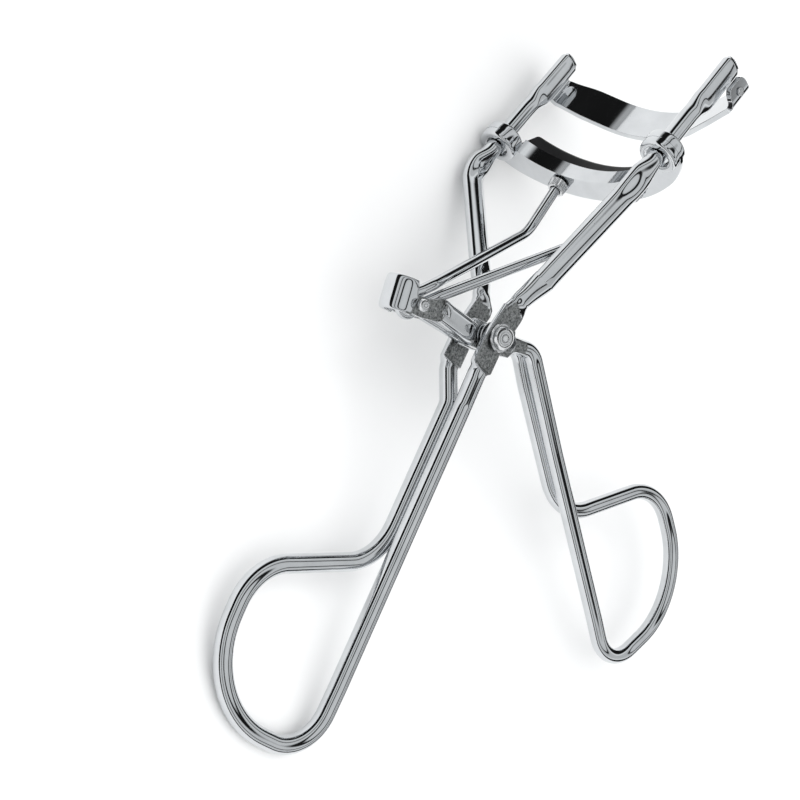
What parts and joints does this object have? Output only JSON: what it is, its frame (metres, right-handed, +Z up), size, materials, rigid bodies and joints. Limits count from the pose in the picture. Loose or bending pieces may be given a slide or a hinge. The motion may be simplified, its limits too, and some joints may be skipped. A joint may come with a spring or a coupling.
{
  "type": "eyelash curler",
  "caption": "Hand-held eyelash curler of chromed wire with two finger loops, a curved upper plate and a padded lower jaw that slides up two guide rails.",
  "frame": {"origin": "centre of the bounding box's bottom face, on the surface that the curler lies on", "axes": "+Y roughly along the guide rails towards the upper plate, +X roughly the way the jaws bulge and the lever's handle points, +Z up; the pivot rivet leans about eleven degrees from +Z"},
  "size_m": [0.0796, 0.1092, 0.036],
  "materials": {
    "bright_chrome": "mirror-bright chrome plating",
    "hardware_chrome": "bright plated rivets, washers and collars, slightly dulled by their punch marks",
    "pad_rubber": "matt black silicone rubber"
  },
  "bodies": {
    "frame": {"frame_wire": "bright_chrome", "upper_plate": "bright_chrome", "plate_stake_left": "hardware_chrome", "plate_stake_right": "hardware_chrome", "pivot_rivet": "hardware_chrome", "pivot_washer_left": "hardware_chrome", "pivot_washer_right": "hardware_chrome", "pivot_shim_left": "hardware_chrome", "pivot_shim_right": "hardware_chrome"},
    "lever": {"lever_wire": "bright_chrome", "link_pin": "hardware_chrome"},
    "jaw": {"push_rod": "bright_chrome", "lower_jaw": "bright_chrome", "curling_pad": "pad_rubber", "rod_collar_left": "hardware_chrome", "rod_collar_right": "hardware_chrome"}
  },
  "joints": [
    {"name": "handle_pivot", "type": "hinge", "parent": "frame", "child": "lever", "pos_m": [-0.02255, 0.00482, 0.01156], "axis": [-0.1035, 0.1617, -0.9814], "range_deg": [0, 31.5]},
    {"name": "link_pivot", "type": "hinge", "parent": "lever", "child": "jaw", "pos_m": [-0.03504, -0.00234, 0.0117], "axis": [-0.1035, 0.1617, -0.9814], "range_deg": [-28.8, 0]}
  ],
  "couplings": [
    {"joint": "link_pivot", "follows": "handle_pivot", "ratio": -0.9078}
  ]
}
